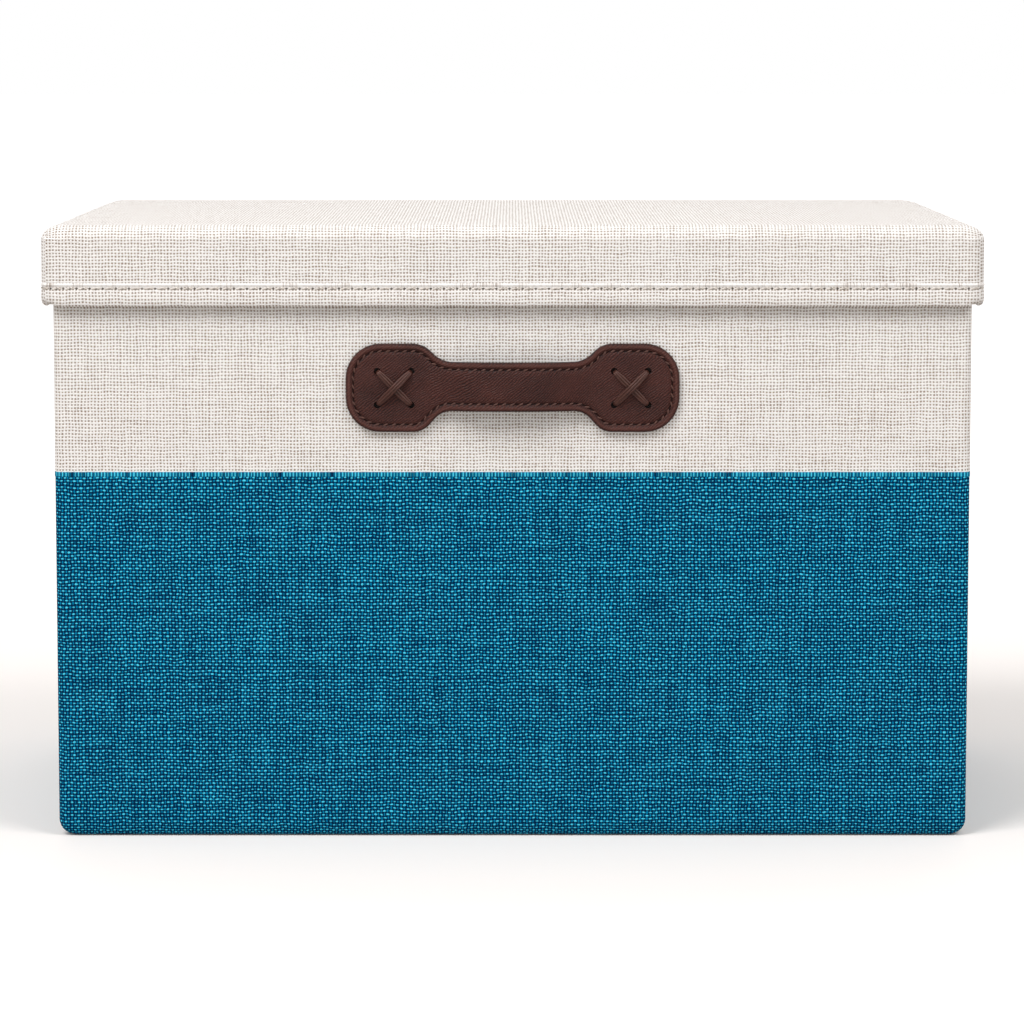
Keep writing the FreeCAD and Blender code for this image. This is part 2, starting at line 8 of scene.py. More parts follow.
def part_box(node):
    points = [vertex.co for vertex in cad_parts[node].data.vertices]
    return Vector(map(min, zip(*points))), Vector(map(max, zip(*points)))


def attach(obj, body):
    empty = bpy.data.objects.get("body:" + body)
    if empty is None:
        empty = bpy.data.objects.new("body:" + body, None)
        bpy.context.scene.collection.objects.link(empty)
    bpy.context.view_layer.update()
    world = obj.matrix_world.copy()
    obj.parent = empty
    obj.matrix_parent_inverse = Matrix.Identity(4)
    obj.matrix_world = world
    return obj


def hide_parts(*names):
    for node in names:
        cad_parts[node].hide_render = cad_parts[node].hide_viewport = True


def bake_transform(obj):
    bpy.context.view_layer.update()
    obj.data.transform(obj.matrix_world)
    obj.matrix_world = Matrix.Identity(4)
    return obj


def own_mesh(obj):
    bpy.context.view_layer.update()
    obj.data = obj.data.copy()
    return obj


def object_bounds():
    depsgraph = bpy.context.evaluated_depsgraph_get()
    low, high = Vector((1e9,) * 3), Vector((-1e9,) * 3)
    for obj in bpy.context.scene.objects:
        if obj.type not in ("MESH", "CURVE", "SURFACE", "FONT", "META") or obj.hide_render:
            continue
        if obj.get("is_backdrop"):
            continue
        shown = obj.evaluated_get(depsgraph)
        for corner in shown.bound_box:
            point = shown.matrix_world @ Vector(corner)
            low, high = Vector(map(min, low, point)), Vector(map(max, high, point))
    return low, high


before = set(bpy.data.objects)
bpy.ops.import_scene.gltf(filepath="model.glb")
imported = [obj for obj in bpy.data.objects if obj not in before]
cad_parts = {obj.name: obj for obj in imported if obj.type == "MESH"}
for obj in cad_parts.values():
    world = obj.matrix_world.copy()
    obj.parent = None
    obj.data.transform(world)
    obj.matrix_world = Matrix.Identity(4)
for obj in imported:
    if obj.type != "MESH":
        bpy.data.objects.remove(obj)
cad_low, cad_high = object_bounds()

# Camera. The photograph was taken straight from the front, from a little above the lid,
# with a long lens, so the short sides don't show. It is tilted down, not shifted.
bpy.ops.object.select_all(action="DESELECT")
bpy.ops.object.camera_add(
    location=(-0.0003, -2.2307, 0.3986), rotation=(math.radians(90 - 6.497), 0, 0)
)
camera = bpy.context.object
camera.data.lens = 149.7
camera.data.clip_end = 50
bpy.context.scene.camera = camera
bpy.context.scene.view_settings.view_transform = "Standard"

# Studio. A white paper floor that runs back out of sight, soft light from all round, two large
# soft boxes above the front corners and a weak one behind, as for a catalogue picture.


def srgb(code):
    """The linear colour of an sRGB hex value such as e8ddd6."""
    parts = [int(code[i : i + 2], 16) / 255 for i in (0, 2, 4)]
    linear = [c / 12.92 if c <= 0.04045 else ((c + 0.055) / 1.055) ** 2.4 for c in parts]
    return (*linear, 1)


def add(tree, kind, inputs=(), out=0, **settings):
    """Adds one node with its settings, and its inputs as values or as links from other nodes.
    Gives back the output that out names."""
    node = tree.nodes.new("ShaderNode" + kind)
    for name, value in settings.items():
        setattr(node, name, value)
    for place, value in dict(inputs).items():
        if isinstance(value, bpy.types.NodeSocket):
            tree.links.new(value, node.inputs[place])
        else:
            node.inputs[place].default_value = value
    return node.outputs[out] if node.outputs else node


def mixed(tree, part, first, second):
    """A colour that runs from the first to the second. Each is a hex value or a link."""
    first, second = (srgb(c) if isinstance(c, str) else c for c in (first, second))
    return add(tree, "Mix", {0: part, 6: first, 7: second}, out=2, data_type="RGBA")


def remap(tree, value, low, high, start=0.0, end=1.0, **settings):
    """Turns the range from low to high into the one from start to end, and cuts off the rest."""
    return add(tree, "MapRange", {0: value, 1: low, 2: high, 3: start, 4: end}, **settings)


def new_material(name):
    """An empty material, and its node tree."""
    material = bpy.data.materials.new(name)
    material.use_nodes = True
    material.node_tree.nodes.clear()
    return material, material.node_tree


world = bpy.data.worlds.new("studio_light")
bpy.context.scene.world = world
world.use_nodes = True
sky = world.node_tree
sky.nodes.clear()
paths = add(sky, "LightPath").node
# the paper behind looks pure white, but lights the bin by less
white_rays = paths.outputs["Is Camera Ray"]
for ray in ("Is Glossy Ray", "Is Transmission Ray"):
    white_rays = add(sky, "Math", {0: white_rays, 1: paths.outputs[ray]}, operation="MAXIMUM")
level = add(sky, "Mix", {0: white_rays, 2: 0.44, 3: 1.0}, data_type="FLOAT")
lit = add(sky, "Background", {"Color": srgb("ffffff"), "Strength": level})
add(sky, "OutputWorld", {"Surface": lit})

bpy.ops.mesh.primitive_plane_add(size=30, location=(0, 8, -0.0002))
floor = bpy.context.object
floor.name = "studio_floor"
bpy.ops.object.transform_apply(location=True, rotation=True, scale=True)
# matt white paper from a roll: it looks white and shows only soft shadows, but throws little
# light back at the bin, as a floor in a large studio does
paper, tree = new_material("white_background_paper")
seen = add(tree, "LightPath").node.outputs["Is Camera Ray"]
matt = add(tree, "BsdfDiffuse", {"Color": mixed(tree, seen, "cdc8c4", "f8f2ee")})
# it is bright where the lamps reach it, and glows a little further off to stay white
where = add(tree, "TexCoord", out="Object")
away = add(tree, "VectorMath", {0: where}, out="Value", operation="LENGTH")
glow = remap(tree, away, 0.3, 3.0, 0.05, 0.7)
shown = add(tree, "Math", {0: seen, 1: glow}, operation="MULTIPLY")
glow = add(tree, "Emission", {"Color": srgb("ffffff"), "Strength": shown})
both = add(tree, "AddShader", {0: matt, 1: glow})
add(tree, "OutputMaterial", {"Surface": both})
floor.data.materials.append(paper)
floor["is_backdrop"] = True

# place in metres, tilt in degrees, power in watts and side in metres
for name, place, turn, power, size in (
    ("soft_box_left", (-1.2, -1.6, 2.4), (41, 0, -37), 51, 1.4),
    ("soft_box_right", (1.5, -1.4, 2.2), (43, 0, 47), 28, 1.4),
    ("soft_box_rear", (0, 1.6, 2.2), (-40, 0, 0), 12, 1.6),
):
    bpy.ops.object.light_add(type="AREA", location=place, rotation=[math.radians(a) for a in turn])
    lamp = bpy.context.object
    lamp.name = name
    lamp.data.energy = power
    lamp.data.shape = "SQUARE"
    lamp.data.size = size


# Blue cloth round the lower part of the walls. A coarse plain weave of dark warp and bright
# weft yarns, glued on board, folded in at its top edge and rounded under at the foot.
# All lengths are in mm.
HALF_LENGTH, HALF_DEPTH = 225, 150
CORNER = 4.5
COLOUR_SPLIT = 181.4  # up to here the cloth is blue
FOLD_LOW, FOLD_MID, FOLD_HIGH, FOLD_OUT = 2.7, 2.4, 2.2, 0.25  # the folded top edge
FOOT_ROUND, FOOT_INSET, FOOT_EDGE = 8, 3.2, 0.9
CLOTH = 0.9  # thickness, with its glue
YARN, YARN_CREST = 1.6, 112.5  # spacing of the yarns, and a count at which one lies on top
LONG_CUT, SIDE_CUT, CREASE_CUT = 146.2, 145.4, 0.4  # where the pieces of cloth end
LOOP_END = -145.8  # the open end of the wall loop, at the front right corner


def deselect():
    """Leaves edit mode, with nothing selected."""
    if bpy.context.mode != "OBJECT":
        bpy.ops.object.mode_set(mode="OBJECT")
    bpy.ops.object.select_all(action="DESELECT")


def choose(piece):
    """Leaves edit mode, with one piece selected and active."""
    deselect()
    bpy.context.view_layer.objects.active = piece
    piece.select_set(True)


def block(name, low, high):
    """A box between two corners in millimetres."""
    deselect()
    bpy.ops.mesh.primitive_cube_add(
        size=1,
        location=[(a + b) / 2000 for a, b in zip(low, high)],
        scale=[(b - a) / 1000 for a, b in zip(low, high)],
    )
    piece = bpy.context.object
    piece.name = piece.data.name = name
    bpy.ops.object.transform_apply(location=True, rotation=True, scale=True)
    return piece


def pick(piece, kind, test):
    """In edit mode, selects the corners, edges or faces whose middle and size in mm pass."""
    bpy.context.view_layer.objects.active = piece
    if bpy.context.mode != "EDIT_MESH":
        bpy.ops.object.mode_set(mode="EDIT")
    bpy.ops.mesh.select_mode(type=kind)
    bpy.ops.mesh.select_all(action="DESELECT")
    mesh = bmesh.from_edit_mesh(piece.data)
    parts = {"VERT": mesh.verts, "EDGE": mesh.edges, "FACE": mesh.faces}[kind]
    for part in parts:
        points = [v.co * 1000 for v in ([part] if kind == "VERT" else part.verts)]
        low, high = (Vector([end(axis) for axis in zip(*points)]) for end in (min, max))
        part.select_set(test((low + high) / 2, high - low))
    bmesh.update_edit_mesh(piece.data)


def bevel(radius, segments, kind="EDGES"):
    """Rounds the selected edges, or the selected corners of a flat sheet."""
    bpy.ops.mesh.bevel(offset=radius / 1000, segments=segments, affect=kind)


def cut(piece, point, normal, drop=False):
    """Cuts the whole piece at a plane, and drops what lies beyond it if asked."""
    pick(piece, "FACE", lambda mid, size: True)
    bpy.ops.mesh.bisect(
        plane_co=[c / 1000 for c in point], plane_no=normal, clear_outer=drop, threshold=1e-7
    )


def copy_of(piece, name):
    """A copy with its own mesh, selected and active."""
    deselect()
    twin = piece.copy()
    twin.data = piece.data.copy()
    twin.name = twin.data.name = name
    bpy.context.collection.objects.link(twin)
    choose(twin)
    return twin


def joined(pieces, name):
    """Makes one object of several."""
    choose(pieces[0])
    for piece in pieces:
        piece.select_set(True)
    bpy.ops.object.join()
    whole = bpy.context.object
    whole.name = whole.data.name = name
    return whole


def thicken(piece, thickness, outwards=False):
    """Gives a sheet its thickness, inwards from its outer face or outwards."""
    choose(piece)
    shell = piece.modifiers.new("thickness", "SOLIDIFY")
    shell.thickness = thickness / 1000
    shell.offset = 1 if outwards else -1
    shell.use_even_offset = True
    bpy.ops.object.modifier_apply(modifier=shell.name)


def smooth(piece, angle=35):
    """Shades the piece smooth over edges that are blunter than the angle."""
    choose(piece)
    bpy.ops.object.shade_smooth_by_angle(angle=math.radians(angle))
    # large flat faces keep their own direction, so light falls evenly on them
    even = piece.modifiers.new("even", "WEIGHTED_NORMAL")
    even.keep_sharp = True
    bpy.ops.object.modifier_apply(modifier=even.name)


def around(p):
    """How far a point is round the outside, from the front middle, in mm. It runs to the left,
    so that the two ends meet at the front right corner, where the wall loop is open."""
    x, y = p.x, p.y
    flat_x, flat_y = HALF_LENGTH - CORNER, HALF_DEPTH - CORNER
    arc = CORNER * math.pi / 2
    if y < LOOP_END or (x > 0 and y < -flat_y):
        if abs(x) <= flat_x:
            return x
        if y < -flat_y:
            turn = math.atan2(abs(x) - flat_x, -flat_y - y)
            return math.copysign(flat_x + CORNER * turn, x)
        return math.copysign(flat_x + arc + y + flat_y, x)
    if x < -flat_x and y <= flat_y:
        return -(flat_x + arc + y + flat_y)
    start = flat_x + arc + 2 * flat_y
    if y > flat_y:
        if x < -flat_x:
            return -(start + CORNER * math.atan2(y - flat_y, -flat_x - x))
        if x > flat_x:
            return -(start + arc + 2 * flat_x + CORNER * math.atan2(x - flat_x, y - flat_y))
        return -(start + arc + x + flat_x)
    return -(start + 2 * arc + 2 * flat_x + flat_y - y)


def lay_weave(piece, place):
    """Gives the cloth its weave map: place turns a point and its face's normal, in mm, into the
    distances along the two sets of yarns."""
    deselect()
    mesh = piece.data
    layer = mesh.uv_layers.new(name="weave")
    for face in mesh.polygons:
        for corner in face.loop_indices:
            point = mesh.vertices[mesh.loops[corner].vertex_index].co * 1000
            layer.data[corner].uv = place(point, face.normal)


def woven(name, pitch, warp, weft, gap, rise, low, high, streak, wander, bump, fuzz):
    """A plain weave. Pitch is the spacing of the yarns in mm; warp and weft are the colours of
    the two sets of yarns and gap the colour between them. Rise is how far a yarn stands up where
    it lies on top, low and high are the heights at which its colour begins and is full, streak
    is how uneven the yarns are, wander how far they stray and bump how deep the weave is, in mm,
    and fuzz is how much loose fibre catches the light."""
    material, tree = new_material(name)
    flat = add(tree, "UVMap", uv_map="weave")
    # the yarns stray a little from straight lines
    drift = add(tree, "TexNoise", {0: flat, "Scale": 0.11, "Detail": 3.0}, out="Color")
    drift = add(tree, "VectorMath", {0: drift, 1: (0.5, 0.5, 0.5)}, operation="SUBTRACT")
    drift = add(tree, "VectorMath", {0: drift, "Scale": wander * 4}, operation="SCALE")
    wavy = add(tree, "VectorMath", {0: flat, 1: drift}, operation="ADD")
    # each is round, and lies over and under the yarns that cross it in turn
    yarns = add(tree, "VectorMath", {0: wavy, "Scale": math.pi / pitch}, operation="SCALE")
    split = add(tree, "SeparateXYZ", {0: yarns}).node
    a = add(tree, "Math", {0: split.outputs[0]}, operation="SINE")
    b = add(tree, "Math", {0: split.outputs[1]}, operation="SINE")
    size_a = add(tree, "Math", {0: a}, operation="ABSOLUTE")
    size_b = add(tree, "Math", {0: b}, operation="ABSOLUTE")
    sign_a = add(tree, "Math", {0: a}, operation="SIGN")
    sign_b = add(tree, "Math", {0: b}, operation="SIGN")
    rise_a = add(tree, "Math", {0: sign_a, 1: b}, operation="MULTIPLY")
    rise_b = add(tree, "Math", {0: sign_b, 1: a}, operation="MULTIPLY")
    high_a = add(tree, "Math", {0: rise_a, 1: rise, 2: size_a}, operation="MULTIPLY_ADD")
    high_b = add(tree, "Math", {0: rise_b, 1: -rise, 2: size_b}, operation="MULTIPLY_ADD")
    height = add(tree, "Math", {0: high_a, 1: high_b}, operation="MAXIMUM")
    weft_on_top = add(tree, "Math", {0: high_b, 1: high_a}, operation="GREATER_THAN")
    # slubs, which are long thick and thin places along each yarn, and loose fibres
    slub_a = add(tree, "VectorMath", {0: flat, 1: (1 / pitch, 0.04, 1)}, operation="MULTIPLY")
    slub_b = add(tree, "VectorMath", {0: flat, 1: (0.04, 1 / pitch, 1)}, operation="MULTIPLY")
    slub_a = add(tree, "TexNoise", {0: slub_a, "Scale": 0.9, "Detail": 1.0})
    slub_b = add(tree, "TexNoise", {0: slub_b, "Scale": 0.9, "Detail": 1.0})
    slub = add(tree, "Math", {0: slub_a, 1: slub_b}, operation="ADD")
    fluff = add(tree, "TexNoise", {0: flat, "Scale": 0.8 / pitch, "Detail": 2.0})
    uneven = add(tree, "Math", {0: fluff, 1: 1.5, 2: slub}, operation="MULTIPLY_ADD")
    tone = remap(tree, uneven, 1.2, 2.3, -streak, streak)
    bare = add(tree, "Math", {0: height, 1: tone}, operation="ADD")
    face = remap(tree, bare, low, high, interpolation_type="SMOOTHSTEP")
    colour = mixed(tree, face, gap, mixed(tree, weft_on_top, warp, weft))
    relief = add(tree, "Bump", {"Strength": 1.0, "Distance": bump / 1000, "Height": height})
    shader = add(tree, "BsdfPrincipled", {
        "Base Color": colour, "Roughness": 0.9, "Specular IOR Level": 0.03,
        "Sheen Weight": fuzz, "Sheen Roughness": 0.4, "Normal": relief,
    })
    add(tree, "OutputMaterial", {"Surface": shader})
    return material


def dress(piece, material, body=None, nodes=()):
    """Gives a piece its material and the body it rides on."""
    deselect()
    piece.data.materials.clear()
    piece.data.materials.append(material)
    if nodes:
        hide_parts(*nodes)
    if body:
        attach(piece, body)


# coarse linen-look polyester: dull dark yarns one way, bright ones the other, with nearly
# black gaps between, which together read as one deep, slightly uneven blue
blue_cloth = woven(
    "blue_linen_weave", YARN, "0084b6", "50daf8", "002c50", 0.4, 0.86, 1.4, 0.22, 0.6, 0.3, 0.0
)


def blue_map(p, normal):
    """Round the walls, and up them. The folded top edge shows one fine row of yarns."""
    if p.z > COLOUR_SPLIT - FOLD_MID and abs(normal.z) < 0.1:
        return 2 * around(p), YARN_CREST * YARN
    rise = p.z if p.z > FOOT_ROUND else FOOT_ROUND * (1 - math.asin(1 - p.z / FOOT_ROUND))
    return around(p), rise


low_cloth = block(
    "low_cloth",
    (-HALF_LENGTH, -HALF_DEPTH, FOOT_ROUND),
    (HALF_LENGTH, HALF_DEPTH, COLOUR_SPLIT),
)
pick(low_cloth, "EDGE", lambda mid, size: size.z > 1)
bevel(CORNER, 5)
pick(low_cloth, "FACE", lambda mid, size: size.z < 0.01 and mid.z < FOOT_ROUND + 1)
# the foot is rounded under, by more on the short sides than on the long ones
foot_x, foot_y, foot_z = HALF_LENGTH, HALF_DEPTH, FOOT_ROUND
for step in range(1, 6):
    turn = math.asin(1 - FOOT_EDGE / FOOT_ROUND) * step / 5
    next_x = HALF_LENGTH - FOOT_ROUND * (1 - math.cos(turn))
    next_y = HALF_DEPTH - FOOT_INSET * (1 - math.cos(turn))
    next_z = FOOT_ROUND * (1 - math.sin(turn))
    bpy.ops.mesh.extrude_region_move(
        TRANSFORM_OT_translate={"value": (0, 0, (next_z - foot_z) / 1000)}
    )
    bpy.ops.transform.resize(
        value=(next_x / foot_x, next_y / foot_y, 1), center_override=(0, 0, next_z / 1000)
    )
    foot_x, foot_y, foot_z = next_x, next_y, next_z
bpy.ops.mesh.delete(type="FACE")
# the top edge is folded in, which makes its last 2 mm stand a little proud
cut(low_cloth, (0, 0, COLOUR_SPLIT - FOLD_LOW), (0, 0, 1))
cut(low_cloth, (0, 0, COLOUR_SPLIT - FOLD_HIGH), (0, 0, 1))
pick(low_cloth, "FACE", lambda mid, size: size.z < 0.01 and mid.z > COLOUR_SPLIT - 1)
bpy.ops.mesh.delete(type="FACE")
pick(low_cloth, "VERT", lambda mid, size: mid.z > COLOUR_SPLIT - FOLD_MID)
bpy.ops.transform.shrink_fatten(value=FOLD_OUT / 1000)

# the bodies, and where each wall's cloth is cut from the ring
WALL_ENDS = {
    "front": ("front_wall", ((0, -LONG_CUT, 0), (0, 1, 0))),
    "rear": ("bin_base", ((0, LONG_CUT, 0), (0, -1, 0))),
}
SIDE_HALVES = {
    "left_rear": ("left_rear_panel", -1, (CREASE_CUT, SIDE_CUT)),
    "left_front": ("left_front_panel", -1, (-SIDE_CUT, -CREASE_CUT)),
    "right_rear": ("right_rear_panel", 1, (CREASE_CUT, SIDE_CUT)),
    "right_front": ("right_front_panel", 1, (-SIDE_CUT, -CREASE_CUT)),
}
for wall, (body, (point, normal)) in WALL_ENDS.items():
    skin = copy_of(low_cloth, wall + "_lower_cloth")
    cut(skin, point, normal, drop=True)
    thicken(skin, CLOTH)
    lay_weave(skin, blue_map)
    smooth(skin)
    dress(skin, blue_cloth, body, [wall + "_cover_lower"])
for wall, (body, side, (near, far)) in SIDE_HALVES.items():
    skin = copy_of(low_cloth, wall + "_lower_cloth")
    cut(skin, (0, near, 0), (0, -1, 0), drop=True)
    cut(skin, (0, far, 0), (0, 1, 0), drop=True)
    cut(skin, (0, 0, 0), (-side, 0, 0), drop=True)
    thicken(skin, CLOTH)
    lay_weave(skin, blue_map)
    smooth(skin)
    dress(skin, blue_cloth, body, [wall + "_cover_lower"])

# Beige cloth round the upper part of the walls. The same kind of weave in undyed yarn. It is
# turned over the rim and hemmed 14 mm down on the inside.
RIM, RIM_ROUND = 297.6, 1.85
WALL = 3.8  # thickness of a wall at its rim
HEM = 14
# undyed linen-look polyester: off-white yarns both ways and small brownish gaps, which give
# a warm, fine-grained off-white
beige_cloth = woven(
    "beige_linen_weave", YARN, "f3efec", "f8f5f2", "8b7562", 0.12, 0.3, 1.0, 0.18, 0.35, 0.18, 0.08
)


def rim_map(p, normal, inner, out):
    """The weave map of a wall that is turned over the rim: out points out of the wall."""
    run = around(p)
    if normal.z > 0.5 or (p.z > RIM - RIM_ROUND and normal.dot(out) < 0.9):
        return run, RIM + (inner - RIM_ROUND)
    if normal.dot(out) < -0.7:
        return run, 2 * RIM - p.z
    return run, p.z


def rim_cloth(name, low, high, out, corners):
    """Beige cloth over one wall's board, between two corners, turned over the rim."""
    skin = block(name, low, high)
    if corners:
        pick(skin, "EDGE", lambda mid, size: size.z > 1 and mid.dot(out) > HALF_DEPTH - 0.1)
        bevel(CORNER, 5)
    pick(skin, "EDGE", lambda mid, size: size.z < 0.01 and mid.z > RIM - 0.01)
    bevel(RIM_ROUND, 4)
    pick(skin, "FACE", lambda mid, size: size.z < 0.01 and mid.z < COLOUR_SPLIT + 1)
    bpy.ops.mesh.delete(type="FACE")
    cut(skin, (0, 0, RIM - HEM), (0, 0, 1))
    reach = max(abs(low[0]), abs(high[0])) if out.x else HALF_DEPTH
    pick(skin, "FACE", lambda mid, size: mid.z < RIM - HEM and mid.dot(out) < reach - WALL + 0.05)
    bpy.ops.mesh.delete(type="FACE")
    thicken(skin, CLOTH)

    lay_weave(skin, lambda p, normal: rim_map(p, normal, reach - p.dot(out), out))
    smooth(skin)
    return skin


for wall, (body, _) in WALL_ENDS.items():
    out = Vector((0, -1 if wall == "front" else 1, 0))
    y = sorted((out.y * HALF_DEPTH, out.y * (HALF_DEPTH - WALL)))
    skin = rim_cloth(
        wall + "_upper_cloth",
        (-HALF_LENGTH, y[0], COLOUR_SPLIT),
        (HALF_LENGTH, y[1], RIM),
        out,
        True,
    )
    dress(skin, beige_cloth, body, [wall + "_cover_upper"])
for wall, (body, side, (near, far)) in SIDE_HALVES.items():
    out = Vector((side, 0, 0))
    x = sorted((side * HALF_LENGTH, side * (HALF_LENGTH - WALL)))
    skin = rim_cloth(
        wall + "_upper_cloth", (x[0], near, COLOUR_SPLIT), (x[1], far, RIM), out, False
    )
    dress(skin, beige_cloth, body, [wall + "_cover_upper"])

# Cloth hinges. The same cloth runs on round the corners and across the fold lines at the
# middle of the short sides, where there is no board in it, so the walls can fold.
STRIP_LAP, STRIP_OUT, STRIP_THICK = 0.7, 0.02, 0.1
STRIP_CUTS = 10
CREASE_DIP = 0.3
high_cloth = block(
    "high_cloth",
    (-HALF_LENGTH, -HALF_DEPTH, COLOUR_SPLIT),
    (HALF_LENGTH, HALF_DEPTH, RIM - RIM_ROUND),
)
pick(high_cloth, "EDGE", lambda mid, size: size.z > 1)
bevel(CORNER, 5)
pick(high_cloth, "FACE", lambda mid, size: size.z < 0.01)
bpy.ops.mesh.delete(type="FACE")
HINGES = {
    "front_left_corner": (-1, -LONG_CUT, -SIDE_CUT, "front_wall", "left_front_panel"),
    "left_crease": (-1, -CREASE_CUT, CREASE_CUT, "left_front_panel", "left_rear_panel"),
    "rear_left_corner": (-1, SIDE_CUT, LONG_CUT, "left_rear_panel", "bin_base"),
    "right_crease": (1, -CREASE_CUT, CREASE_CUT, "right_front_panel", "right_rear_panel"),
    "rear_right_corner": (1, SIDE_CUT, LONG_CUT, "right_rear_panel", "bin_base"),
}
for hinge, (side, near, far, first, second) in HINGES.items():
    for ring, material, slot in (
        (low_cloth, blue_cloth, "blue_cloth"),
        (high_cloth, beige_cloth, "beige_cloth"),
    ):
        strip = copy_of(ring, f"{hinge}_{slot}")
        cut(strip, (0, near - STRIP_LAP, 0), (0, -1, 0), drop=True)
        cut(strip, (0, far + STRIP_LAP, 0), (0, 1, 0), drop=True)
        cut(strip, (0, 0, 0), (-side, 0, 0), drop=True)
        for line in range(STRIP_CUTS + 1):
            cut(strip, (0, near + (far - near) * line / STRIP_CUTS, 0), (0, 1, 0))
        pick(strip, "VERT", lambda mid, size: True)
        bpy.ops.transform.shrink_fatten(value=STRIP_OUT / 1000)
        # the fold line of a crease is pressed in
        for reach in (0.3, 0.1) if "crease" in hinge else ():
            pick(strip, "VERT", lambda mid, size: abs(mid.y) < reach)
            bpy.ops.transform.translate(value=(-side * CREASE_DIP / 1000, 0, 0))
        thicken(strip, STRIP_THICK, outwards=True)
        # the strip is pulled wide when the walls fold, so its yarns lie close at rest
        lay_weave(strip, lambda p, normal: (3 * around(p), blue_map(p, normal)[1]))
        smooth(strip)
        dress(strip, material)
        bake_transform(strip)
for ring in (low_cloth, high_cloth):
    deselect()
    bpy.data.objects.remove(ring)

# Bottom cloth. One piece of the blue cloth closes the bin underneath; its edge is sewn to the
# foot of the walls and it gathers in when the walls are folded.
MAT_TOP = 1.15
bottom = block("bottom_cloth", (-foot_x, -foot_y, MAT_TOP - 0.05), (foot_x, foot_y, MAT_TOP))
pick(bottom, "EDGE", lambda mid, size: size.z > 0.01)
bevel(CORNER, 5)
pick(bottom, "FACE", lambda mid, size: size.z < 0.01 and mid.z < MAT_TOP - 0.04)
# the cloth sinks from the seam to the floor
for inwards, down in ((0.9, 0.5), (1.1, 0.4), (1.5, 0.2)):
    bpy.ops.mesh.inset(thickness=inwards / 1000, depth=down / 1000)
lay_weave(bottom, lambda p, normal: (p.x, p.y))
smooth(bottom)
dress(bottom, blue_cloth, "bin_base", ["bottom_cover"])
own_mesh(bottom)

# Boards in the walls, the lid and the base. Stiff grey board, 2.2 mm in the walls, cut to size
# and glued into the cloth, so that it is seen only at the open joints.


def flecked(name, scale, detail, dark, light, roughness, specular=0.5, bump=0.0):
    """A material whose colour runs between two tones in fine flecks, scale of them to the
    metre. Bump is how deep they are, in mm."""
    material, tree = new_material(name)
    where = add(tree, "TexCoord", out="Object")
    flecks = add(tree, "TexNoise", {0: where, "Scale": scale, "Detail": detail})
    inputs = {
        "Base Color": mixed(tree, flecks, dark, light), "Roughness": roughness,
        "Specular IOR Level": specular,
    }
    if bump:
        inputs["Normal"] = add(tree, "Bump", {
            "Strength": 0.6, "Distance": bump / 1000, "Height": flecks,
        })
    add(tree, "OutputMaterial", {"Surface": add(tree, "BsdfPrincipled", inputs)})
    return material


# pressed waste paper: matt, mid grey, with fine light and dark fibres
board_stuff = flecked("grey_board", 900.0, 4.0, "857f78", "a9a39b", 0.95)
for name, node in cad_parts.items():
    if name.endswith("_board") or name == "base_board_core":
        node.data.materials.clear()
        node.data.materials.append(board_stuff)

# Lining of the walls. Thin white-grey non-woven cloth, glued to the inner face of each board
# and cut off square at the creases.
LINING = 0.6
# spun polypropylene, its fibres melted together at a grid of fine points, which look like
# small pits in a pale, dull sheet
lining_cloth = woven(
    "nonwoven_polypropylene", 0.9, "d9d4cd", "dedad4", "aaa299", 0.1, 0.2, 0.9, 0.15, 0.5, 0.1, 0.1
)


def lining_panel(name, low, high, body, node, flat):
    """The lining of one wall, between two corners, with its weave map."""
    panel = block(name, low, high)
    pick(panel, "EDGE", lambda mid, size: True)
    bevel(0.2, 2)
    lay_weave(panel, flat)
    smooth(panel)
    dress(panel, lining_cloth, body, [node])


for wall, (body, _) in WALL_ENDS.items():
    low, high = (corner * 1000 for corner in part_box(wall + "_lining"))
    lining_panel(wall + "_lining_felt", low, high, body, wall + "_lining",
                 lambda p, normal: (p.x, p.z))
for wall, (body, _, _) in SIDE_HALVES.items():
    low, high = (corner * 1000 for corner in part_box(wall + "_lining"))
    lining_panel(wall + "_lining_felt", low, high, body, wall + "_lining",
                 lambda p, normal: (p.y, p.z))

# Handles, one on the front and one on the rear. Two layers of dark brown leather, sewn round
# the edge through a pressed groove, with the rim rounded; the strap bows off the wall between
# the flat tabs.
HANDLE_UP = 223
HANDLE_END, TAB_UP, TAB_ROUND = 81.75, 43.3, 17
NECK_OUT, NECK_IN, NECK_CUT = 44, 34.6, 4.4
STRAP_UP, STRAP_RAISE = 24, 0.9
BOW_RISE, BOW_FOOT, BOW_CROWN, BOW_BEND = 7, 38, 17, 60
LEATHER_BACK, LEATHER_FACE = 1.4, 1.6
STITCH_INSET, STITCH_PITCH, STITCH_SLANT = 3.6, 4.1, -24
CORD_X, CORD_SPAN, HOLE_RADIUS = 58, 16.6, 1.7


